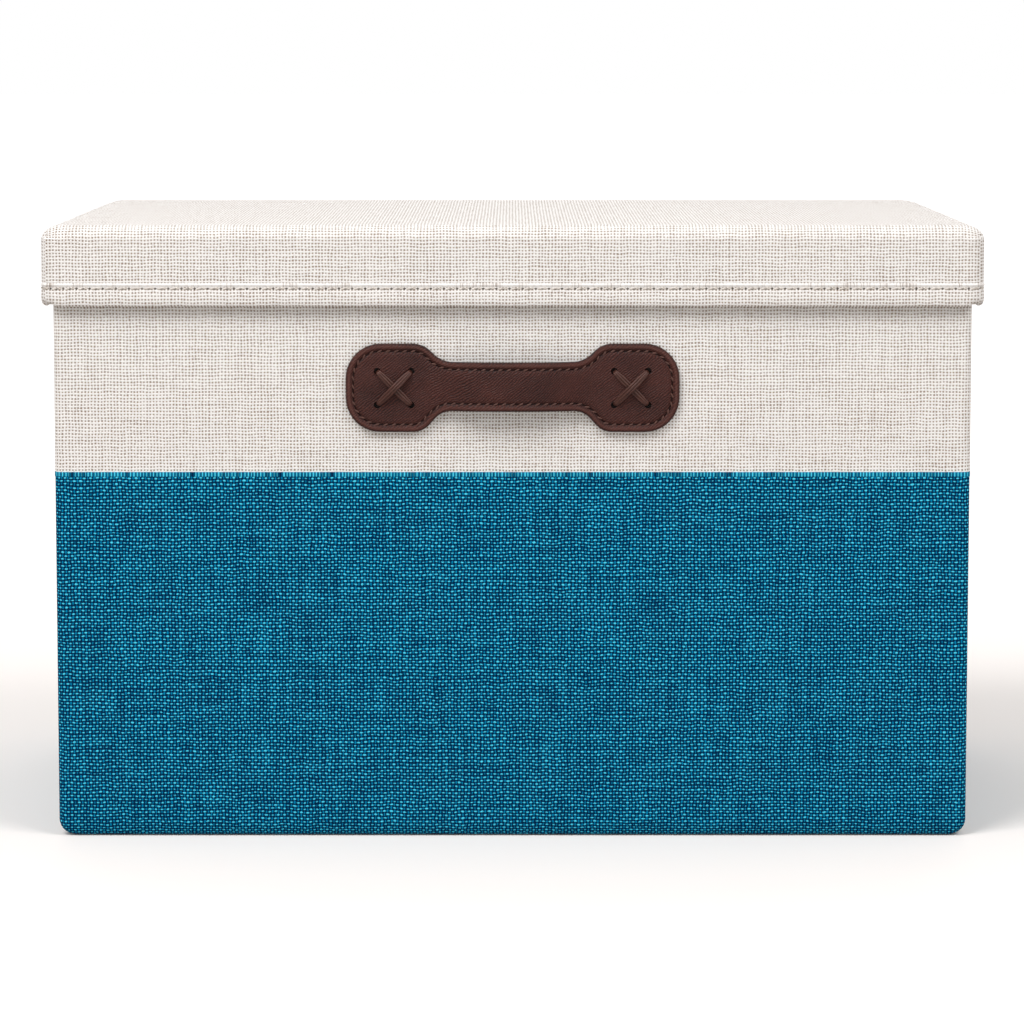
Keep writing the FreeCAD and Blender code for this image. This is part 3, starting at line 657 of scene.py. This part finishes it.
def handle_sheet(name):
    """The handle's outline as one upright face on y = 0: the strap, widened into the tabs."""
    deselect()
    bpy.ops.mesh.primitive_plane_add(
        size=1, location=(0, 0, HANDLE_UP / 1000), rotation=(math.pi / 2, 0, 0)
    )
    piece = bpy.context.object
    piece.scale = (2 * NECK_IN / 1000, STRAP_UP / 1000, 1)
    piece.name = piece.data.name = name
    bpy.ops.object.transform_apply(location=True, rotation=True, scale=True)
    for side in (-1, 1):
        pick(piece, "EDGE", lambda mid, size: size.x < 0.01 and mid.x * side > NECK_IN - 0.1)
        bpy.ops.mesh.extrude_region_move(
            TRANSFORM_OT_translate={"value": (side * (NECK_OUT - NECK_IN) / 1000, 0, 0)}
        )
        bpy.ops.transform.resize(
            value=(1, 1, TAB_UP / STRAP_UP),
            center_override=(side * NECK_OUT / 1000, 0, HANDLE_UP / 1000),
        )
        bpy.ops.mesh.extrude_region_move(
            TRANSFORM_OT_translate={"value": (side * (HANDLE_END - NECK_OUT) / 1000, 0, 0)}
        )
    pick(piece, "VERT", lambda mid, size: abs(mid.x) < NECK_IN + 0.1)
    bpy.ops.transform.translate(value=(0, 0, STRAP_RAISE / 1000))
    pick(piece, "FACE", lambda mid, size: True)
    bpy.ops.mesh.dissolve_faces()
    pick(piece, "VERT", lambda mid, size: abs(mid.x) > HANDLE_END - 0.1)
    bevel(TAB_ROUND, 10, "VERTICES")
    for x in (NECK_OUT, NECK_IN):
        pick(piece, "VERT", lambda mid, size: abs(abs(mid.x) - x) < 0.1)
        bevel(NECK_CUT, 4, "VERTICES")
    return piece


def bow(x):
    """How far the wall side of the strap stands off the wall at x mm from its middle. It
    leaves the wall, slopes up and levels out in bends of one radius."""
    bend, run = BOW_BEND, BOW_FOOT - BOW_CROWN
    slope = math.atan2(BOW_RISE, run)
    foot = BOW_FOOT + bend * math.tan(slope / 2)
    crown = BOW_CROWN - bend * math.tan(slope / 2)
    x = abs(x)
    if x >= foot:
        return 0
    if x >= foot - bend * math.sin(slope):
        return bend - math.sqrt(bend**2 - (foot - x) ** 2)
    if x <= crown:
        return BOW_RISE
    if x <= crown + bend * math.sin(slope):
        return BOW_RISE - bend + math.sqrt(bend**2 - (x - crown) ** 2)
    return (BOW_FOOT - x) * BOW_RISE / run


def bend_strap(piece, lift):
    """Cuts the strap every 2 mm and lays it along its bow, lift mm off the wall."""
    for line in range(-24, 25):
        cut(piece, (line * 2, 0, 0), (1, 0, 0))
    deselect()
    for corner in piece.data.vertices:
        corner.co.y -= (HALF_DEPTH + lift + bow(corner.co.x * 1000)) / 1000


def close_back(piece):
    """Closes the open side of the sheet, towards the wall."""
    pick(piece, "FACE", lambda mid, size: False)
    bpy.ops.mesh.select_mode(type="EDGE")
    bpy.ops.mesh.select_non_manifold()
    bpy.ops.mesh.edge_face_add()


def bore(piece, cutter):
    """Takes the cutter out of the piece, and removes the cutter."""
    choose(piece)
    holes = piece.modifiers.new("holes", "BOOLEAN")
    holes.operation, holes.solver, holes.object = "DIFFERENCE", "EXACT", cutter
    bpy.ops.object.modifier_apply(modifier=holes.name)
    bpy.data.objects.remove(cutter)


# oiled cow leather: dark brown, half matt, with a fine pebbled grain, faint slanting creases
# and lighter patches where the oil has drawn away
leather, tree = new_material("brown_oiled_leather")
where = add(tree, "TexCoord", out="Object")
stretch = add(tree, "VectorMath", {0: where, 1: (900, 1000, -1100)}, operation="MULTIPLY")
wander = add(tree, "TexNoise", {0: stretch, "Scale": 0.35, "Detail": 3.0}, out="Color")
skewed = add(tree, "VectorMath", {0: wander, 1: (1.6, 1.6, 1.6), 2: stretch},
             operation="MULTIPLY_ADD")
grain = add(tree, "TexVoronoi", {0: skewed, "Scale": 0.8}, feature="DISTANCE_TO_EDGE")
grain = remap(tree, grain, 0.0, 0.3, interpolation_type="SMOOTHSTEP")
creases = add(
    tree, "TexWave",
    {0: stretch, "Scale": 0.4, "Distortion": 7.0, "Detail": 3.0, "Detail Scale": 0.5},
    out="Fac", bands_direction="DIAGONAL",
)
patches = add(tree, "TexNoise", {0: stretch, "Scale": 0.05, "Detail": 4.0})
hide = add(tree, "Math", {0: grain, 1: 0.6, 2: creases}, operation="MULTIPLY_ADD")
tone = add(tree, "Math", {0: patches, 1: 1.6, 2: hide}, operation="MULTIPLY_ADD")
# the hollows of the grain and creases are darker and their tops lighter: partly the leather's own
# tone, partly painted shade and highlight of the fine relief
brown = mixed(tree, remap(tree, tone, 0.8, 2.6), "220b08", "542c25")
# painted shade darkens the bottom of the groove and the cut edge, which is also dark of itself,
# and a painted highlight lightens the crest of the rim
raised = add(tree, "Attribute", out="Fac", attribute_name="raised")
brown = mixed(tree, remap(tree, raised, 0.0, 0.5), "120605", brown)
brown = mixed(tree, remap(tree, raised, 0.86, 1.0, 0.0, 0.45), brown, "684038")
relief = add(tree, "Bump", {"Strength": 0.8, "Distance": 0.0002, "Height": hide})
shader = add(tree, "BsdfPrincipled", {
    "Base Color": brown, "Roughness": 0.42, "Specular IOR Level": 0.19, "Normal": relief,
})
add(tree, "OutputMaterial", {"Surface": shader})

back = handle_sheet("handle_back_leather")
pick(back, "FACE", lambda mid, size: True)
bpy.ops.mesh.extrude_region_move(
    TRANSFORM_OT_translate={"value": (0, -(LEATHER_BACK - 0.3) / 1000, 0)}
)
bpy.ops.mesh.inset(thickness=0.0003, depth=0.0003)
close_back(back)
bend_strap(back, 0)

face = handle_sheet("handle_face_leather")
pick(face, "FACE", lambda mid, size: True)
bpy.ops.mesh.extrude_region_move(TRANSFORM_OT_translate={"value": (0, -0.0008, 0)})
# the rim is rounded over, then the leather dips into the stitch groove and fills out again
for inwards, out in (
    (0.2, 0.45), (0.4, 0.4), (0.7, 0.2), (0.8, -0.05), (0.7, -0.25), (0.5, -0.45),
    (0.35, -0.3), (0.35, 0.3), (0.5, 0.35), (1.2, 0.15), (2.5, 0.1),
):
    bpy.ops.mesh.inset(thickness=inwards / 1000, depth=out / 1000)
close_back(face)
bend_strap(face, LEATHER_BACK)

# holes for the cords are punched through the face only; the back layer is left whole, its dark
# leather standing in as painted shade at the bottom of each deep hole
punches = []
for side in (-1, 1):
    for along in (-1, 1):
        for up in (-1, 1):
            deselect()
            bpy.ops.mesh.primitive_cylinder_add(
                vertices=14, radius=HOLE_RADIUS / 1000, depth=0.008,
                location=(
                    (side * CORD_X + along * CORD_SPAN / 2) / 1000,
                    -(HALF_DEPTH + 1.9) / 1000,
                    (HANDLE_UP + up * CORD_SPAN / 2) / 1000,
                ),
                rotation=(math.pi / 2, 0, 0),
            )
            punches.append(bpy.context.object)
punch = joined(punches, "cord_holes")
bpy.ops.object.transform_apply(location=True, rotation=True, scale=True)
bore(face, punch)
smooth(face, 50)
smooth(back, 50)
# how far the leather stands out, which sets the painted shade and the painted highlight in its
# colour
raised = face.data.attributes.new("raised", "FLOAT", "POINT")
for corner, value in zip(face.data.vertices, raised.data):
    lift = -corner.co.y * 1000 - HALF_DEPTH - LEATHER_BACK - bow(corner.co.x * 1000)
    value.value = min(1, max(0, (lift - 0.8) / 1.05))

# the seam: short slanting stitches of brown thread, lying in the groove
guide = handle_sheet("stitch_line")
pick(guide, "FACE", lambda mid, size: True)
bpy.ops.mesh.inset(thickness=STITCH_INSET / 1000)
deselect()
inner = max(guide.data.polygons, key=lambda f: f.area)
line = [guide.data.vertices[i].co * 1000 for i in inner.vertices]
bpy.data.objects.remove(guide)
bpy.ops.mesh.primitive_uv_sphere_add(segments=8, ring_count=6, radius=1)
stitch = bpy.context.object
stitch.name = stitch.data.name = "seam_stitch"


def walk(points, pitch, closed=True):
    """Evenly spaced places along a line of points, each with the way the line runs there."""
    runs = list(zip(points, points[1:] + points[:1] if closed else points[1:]))
    total = sum((b - a).length for a, b in runs)
    count = round(total / pitch)
    wanted, passed, spots = 0.0, 0.0, []
    for a, b in runs:
        length = (b - a).length
        while wanted < passed + length - 1e-6 and len(spots) < count:
            spots.append((a.lerp(b, (wanted - passed) / length), (b - a).normalized()))
            wanted += total / count
        passed += length
    return spots


def sew(stitch, name, spots):
    """A copy of the stitch at each spot: a place in mm, the way it lies and the way out."""
    copies = []
    for place, along, out in spots:
        twin = stitch.copy()
        twin.data = stitch.data.copy()
        bpy.context.collection.objects.link(twin)
        across = out.cross(along).normalized()
        turn = Matrix((along, across, out)).transposed().to_4x4()
        twin.data.transform(Matrix.Translation(place / 1000) @ turn)
        copies.append(twin)
    return joined(copies, name)


# each is 2.8 mm long, 0.9 mm wide and 0.8 mm thick
stitch.data.transform(Matrix.Diagonal((0.0014, 0.00045, 0.0004, 1)))
spots = []
groove = LEATHER_BACK + LEATHER_FACE - 0.35
for place, along in walk(line, STITCH_PITCH):
    slant = Matrix.Rotation(math.radians(STITCH_SLANT), 3, "Y")
    place.y = -(HALF_DEPTH + groove + bow(place.x))
    spots.append((place, slant @ along, Vector((0, -1, 0))))
seam = sew(stitch, "handle_seam", spots)
bpy.data.objects.remove(stitch)
# waxed polyester thread: brown, a shade lighter than the leather, with a dull shine
thread = flecked("brown_waxed_thread", 1500.0, 3.0, "331a15", "6a4337", 0.6)

# the crossed cords: three strands side by side, in at one hole and out at the other, and the
# upper cord of each cross humps over the lower one
STRAND, STRAND_APART, CORD_HUMP = 0.58, 1.14, 2.2
cords = []
for side in (-1, 1):
    for over in (False, True):
        for strand in (-1, 0, 1):
            deselect()
            bpy.ops.curve.primitive_nurbs_path_add()
            path = bpy.context.object
            line = path.data.splines[0]
            reach = CORD_SPAN / math.sqrt(2) - 0.4
            top = LEATHER_BACK + LEATHER_FACE + 0.9
            hump = CORD_HUMP if over else 0.0
            # along the cord, off the wall, and how far the strands are spread
            points = (
                (-reach, 0.5, 0.4), (-reach, top - 0.9, 0.5), (-reach + 1.2, top, 0.7),
                (-reach / 2, top + 0.1 + 0.5 * hump, 1), (-2, top + 0.1 + hump, 1),
                (2, top + 0.1 + hump, 1), (reach / 2, top + 0.1 + 0.5 * hump, 1),
                (reach - 1.2, top, 0.7), (reach, top - 0.9, 0.5), (reach, 0.5, 0.4),
            )
            line.points.add(len(points) - len(line.points))
            turn = math.radians(45 if over else -45)
            for point, (run, lift, spread) in zip(line.points, points):
                aside = strand * STRAND_APART * spread
                lift += 0.35 * (strand == 0) * spread
                x = run * math.cos(turn) - aside * math.sin(turn)
                z = run * math.sin(turn) + aside * math.cos(turn)
                point.co = (
                    (side * CORD_X + x) / 1000, -(HALF_DEPTH + lift) / 1000,
                    (HANDLE_UP + z) / 1000, 1,
                )
            line.order_u = 3
            line.use_endpoint_u = True
            path.location = (0, 0, 0)
            path.data.dimensions = "3D"
            path.data.bevel_depth = STRAND / 1000
            path.data.bevel_resolution = 3
            path.data.resolution_u = 6
            path.data.use_fill_caps = True
            bpy.ops.object.convert(target="MESH")
            cords.append(bpy.context.object)
lacing = joined(cords, "handle_lacing")
smooth(lacing, 60)
# leather lace cut from the same hide: brown, rounded and a little shinier than the handle
cord_stuff = flecked("brown_leather_lace", 700.0, 4.0, "2c1410", "5f382d", 0.4, 0.35, 0.1)

for wall, (body, _) in WALL_ENDS.items():
    for piece, part, material, slot in (
        (back, "back", leather, "brown_leather"),
        (face, "face", leather, "brown_leather"),
        (seam, "seam", thread, "brown_cord"),
        (lacing, "cords", cord_stuff, "brown_cord"),
    ):
        twin = copy_of(piece, f"{wall}_{piece.name}")
        if wall == "rear":
            twin.data.transform(Matrix.Rotation(math.pi, 4, "Z"))
        nodes = [] if part == "seam" else [f"{wall}_handle_{part}"]
        dress(twin, material, body, nodes)
for piece in (back, face, seam, lacing):
    bpy.data.objects.remove(piece)

# Anchor plates. Small hard plates let into the back of the board, where the cords are knotted.
# They are moulded, and hidden by the lining; the CAD nodes are shown as they are.
# injection-moulded polypropylene: even mid grey, half matt
plate_stuff = flecked("grey_moulded_plastic", 400.0, 3.0, "5b5b5d", "6a6a6c", 0.5)
for wall in WALL_ENDS:
    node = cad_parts[wall + "_handle_anchors"]
    node.data.materials.clear()
    node.data.materials.append(plate_stuff)

# Base board. A loose stiff board lies on the bottom and keeps the walls apart. It is wrapped
# in the same non-woven cloth as the lining, glued round its edges.
low, high = (corner * 1000 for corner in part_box("base_board_cloth"))
base = block("base_board_cover", low, high)
pick(base, "EDGE", lambda mid, size: size.z > 1)
bevel(4, 5)
pick(base, "EDGE", lambda mid, size: size.z < 0.01)
bevel(1.3, 4)


def box_map(p, normal):
    """Flat on top and underneath, and round the sides."""
    return (p.x, p.y) if abs(normal.z) > 0.5 else (p.x + p.y, p.z)


lay_weave(base, box_map)
smooth(base)
dress(base, lining_cloth, "base_board", ["base_board_cloth"])

# Pull tape. A short length of beige webbing, sewn down at both ends near the board's front
# edge.
low, high = (corner * 1000 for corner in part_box("base_pull_tape"))
tape = block("base_pull_webbing", low, high)
pick(tape, "EDGE", lambda mid, size: True)
bevel(0.2, 2)
lay_weave(tape, lambda p, normal: (p.x, p.y))
smooth(tape)
# woven cotton tape: denser and darker than the cloth, with flat, even yarns
webbing = woven(
    "beige_webbing", 0.8, "d8cbbb", "e2d8ca", "8f7d69", 0.3, 0.5, 1.2, 0.15, 0.1, 0.2, 0.1
)
dress(tape, webbing, "base_board", ["base_pull_tape"])
# twisted polyester thread: off-white like the cloth, with darker lines between its fibres
beige_thread = flecked("beige_polyester_thread", 1300.0, 3.0, "b3a698", "f2ece5", 0.7)


def ply(name, length, radius, splay):
    """One stitch of two strands laid over each other, along X."""
    strands = []
    for side in (-1, 1):
        deselect()
        bpy.ops.mesh.primitive_uv_sphere_add(segments=6, ring_count=5, radius=1)
        strand = bpy.context.object
        strand.data.transform(
            Matrix.Rotation(side * math.radians(splay), 4, "Z")
            @ Matrix.Diagonal((length / 2000, radius / 1000, radius / 1000, 1))
            @ Matrix.Rotation(math.pi / 2, 4, "Y")
        )
        strands.append(strand)
    stitch = joined(strands, name)
    smooth(stitch, 180)
    return stitch


stitch = ply("tape_stitch", 2.2, 0.22, 4)
rows = []
for y in (low.y + 3, high.y - 3):
    line = [Vector((low.x + 2, y, high.z + 0.05)), Vector((high.x - 2, y, high.z + 0.05))]
    rows += [(place, along, Vector((0, 0, 1))) for place, along in walk(line, 2.5, False)]
seam = sew(stitch, "base_pull_seam", rows)
bpy.data.objects.remove(stitch)
dress(seam, beige_thread, "base_board")

# Lid. A shallow board box in the beige cloth. The lower edge is turned in and sewn with one
# line of large stitches of twisted thread; the fold stands up in a ridge above them.
LID_LENGTH, LID_DEPTH = 230.5, 155.5
LID_FOOT, LID_TOP = 263, 302.6
LID_CORNER, LID_EDGE = 8, 6.5
EDGE_BAND = 9
SEAM = 271.8
HEM_PITCH, NEEDLE_RADIUS = 6.4, 0.55
RIDGE_LOW, RIDGE_HIGH, RIDGE_CREST = 9.8, 11.4, 170.38
lid = block("lid_cloth", (-LID_LENGTH, -LID_DEPTH, LID_FOOT), (LID_LENGTH, LID_DEPTH, LID_TOP))
pick(lid, "EDGE", lambda mid, size: size.z > 1)
bevel(LID_CORNER, 8)
pick(lid, "EDGE", lambda mid, size: size.z < 0.01 and mid.z > LID_TOP - 0.01)
bevel(LID_EDGE, 8)
pick(lid, "FACE", lambda mid, size: size.z < 0.01 and mid.z < LID_FOOT + 0.01)
bpy.ops.mesh.delete(type="FACE")
# the top edge is fuller on the short sides and tighter at the rear
edge_foot = LID_TOP - LID_EDGE + 0.1
for side in (-1, 1):
    pick(lid, "VERT", lambda mid, size: mid.z > edge_foot
         and mid.x * side > LID_LENGTH - EDGE_BAND)
    bpy.ops.transform.resize(
        value=(1.6, 1, 1.15), center_override=(side * LID_LENGTH / 1000, 0, LID_TOP / 1000)
    )
pick(lid, "VERT", lambda mid, size: mid.z > edge_foot and mid.y > LID_DEPTH - EDGE_BAND)
bpy.ops.transform.resize(value=(1, 0.6, 1), center_override=(0, LID_DEPTH / 1000, 0))
# the two rear corners are rounder
for side in (-1, 1):
    pick(lid, "VERT", lambda mid, size: mid.z > edge_foot
         and mid.x * side > LID_LENGTH - EDGE_BAND - 5 and mid.y > LID_DEPTH - EDGE_BAND)
    bpy.ops.transform.resize(value=(1.35, 1, 1), center_override=(side * LID_LENGTH / 1000, 0, 0))
HEM_ROWS = (
    # height, and how far the cloth stands out on the short sides and on the long sides
    (0, -2.6, -1.5), (0.25, -1.5, -0.7), (0.6, -0.8, -0.3), (1.4, -0.2, 0), (2.6, 0.1, 0.15),
    (4.5, 0.3, 0.3), (7.7, 0.15, 0.15), (8.8, -0.2, -0.2), (9.7, -0.05, -0.05),
    (10.1, 0.2, 0.2), (10.6, 0.42, 0.42), (11.1, 0.25, 0.25), (11.5, -0.05, -0.05), (12.1, 0, 0),
)
for height, *_ in HEM_ROWS[1:]:
    cut(lid, (0, 0, LID_FOOT + height), (0, 0, 1))
for height, out_x, out_y in HEM_ROWS:
    pick(lid, "VERT", lambda mid, size: abs(mid.z - LID_FOOT - height) < 0.05)
    bpy.ops.transform.resize(
        value=(1 + out_x / LID_LENGTH, 1 + out_y / LID_DEPTH, 1), center_override=(0, 0, 0)
    )
# the folded cloth is drawn up and in at the four lower corners, most at the very foot
for height, lift, inwards in (
    (4.5, 0.2, 0.05), (2.6, 0.5, 0.15), (1.4, 0.8, 0.3), (0.6, 1.0, 0.5), (0.25, 1.1, 0.6),
    (0, 1.2, 0.7),
):
    pick(lid, "VERT", lambda mid, size: abs(mid.z - LID_FOOT - height) < 0.05
         and abs(mid.x) > LID_LENGTH - LID_CORNER + 1 and abs(mid.y) > LID_DEPTH - LID_CORNER + 1)
    bpy.ops.transform.shrink_fatten(value=-inwards / 1000)
    bpy.ops.transform.translate(value=(0, 0, lift / 1000))
thicken(lid, 1.0)

# the line of the seam, then holes where the needle went through and stitches between them
path = []
for sign_x, sign_y, start in ((1, -1, -90), (1, 1, 0), (-1, 1, 90), (-1, -1, 180)):
    for step in range(9):
        turn = math.radians(start + step * 90 / 8)
        path.append(Vector((
            sign_x * (LID_LENGTH - LID_CORNER) + (LID_CORNER - 0.1) * math.cos(turn),
            sign_y * (LID_DEPTH - LID_CORNER) + (LID_CORNER - 0.1) * math.sin(turn),
            SEAM,
        )))
spots = [
    (place, along, along.cross(Vector((0, 0, 1)))) for place, along in walk(path, HEM_PITCH / 2)
]
deselect()
bpy.ops.mesh.primitive_cylinder_add(vertices=6, radius=NEEDLE_RADIUS / 1000, depth=0.004)
needle = bpy.context.object
# the thread pulls each hole longer
needle.data.transform(Matrix.Diagonal((1.3, 1, 1, 1)))
bore(lid, sew(needle, "needle_holes", spots[::2]))
bpy.data.objects.remove(needle)
stitch = ply("hem_stitch", 5.0, 0.45, 5)
stitch.data.transform(Matrix.Rotation(math.radians(6), 4, "Z"))
hem = sew(stitch, "lid_hem_seam", spots[1::2])
bpy.data.objects.remove(stitch)
dress(hem, beige_thread, "lid")


def lid_map(p, normal):
    """The weave runs over the lid from front to back, and across the short sides, where it is
    another part of the cloth."""
    drop = max(0, LID_TOP - LID_EDGE - p.z)
    if abs(normal.x) > max(abs(normal.y), abs(normal.z)):
        return math.copysign(LID_LENGTH + 90, p.x) + p.y, p.z
    flat = LID_DEPTH - LID_EDGE
    if abs(p.y) <= flat:
        return p.x, p.y
    turn = math.atan2(abs(p.y) - flat, max(p.z - LID_TOP + LID_EDGE, 0) + 1e-6)
    return p.x, math.copysign(flat + LID_EDGE * min(turn, math.pi / 2) + drop, p.y)


lay_weave(lid, lid_map)
# along the ridge one yarn lies on top all the way
layer = lid.data.uv_layers["weave"]
for face in lid.data.polygons:
    if RIDGE_LOW < face.center.z * 1000 - LID_FOOT < RIDGE_HIGH:
        for corner in face.loop_indices:
            layer.data[corner].uv = layer.data[corner].uv.x, RIDGE_CREST * YARN
smooth(lid)
dress(lid, beige_cloth, "lid", ["lid_cover"])

# Lining of the lid. A shallow tray of the same non-woven cloth as in the walls, glued to the
# inner face of the lid's boards.
low, high = (corner * 1000 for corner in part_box("lid_lining"))
inside = block("lid_lining_felt", low, high)
pick(inside, "EDGE", lambda mid, size: size.z > 1)
bevel(3, 4)
pick(inside, "FACE", lambda mid, size: size.z < 0.01 and mid.z < low.z + 0.01)
bpy.ops.mesh.delete(type="FACE")
thicken(inside, LINING)
lay_weave(inside, box_map)
smooth(inside)
dress(inside, lining_cloth, "lid", ["lid_lining"])

# Size. The boxes round the CAD part and round what is shown, for comparison.
size = {
    "cad_box": [list(cad_low), list(cad_high)],
    "visual_box": [list(corner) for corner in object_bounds()],
}
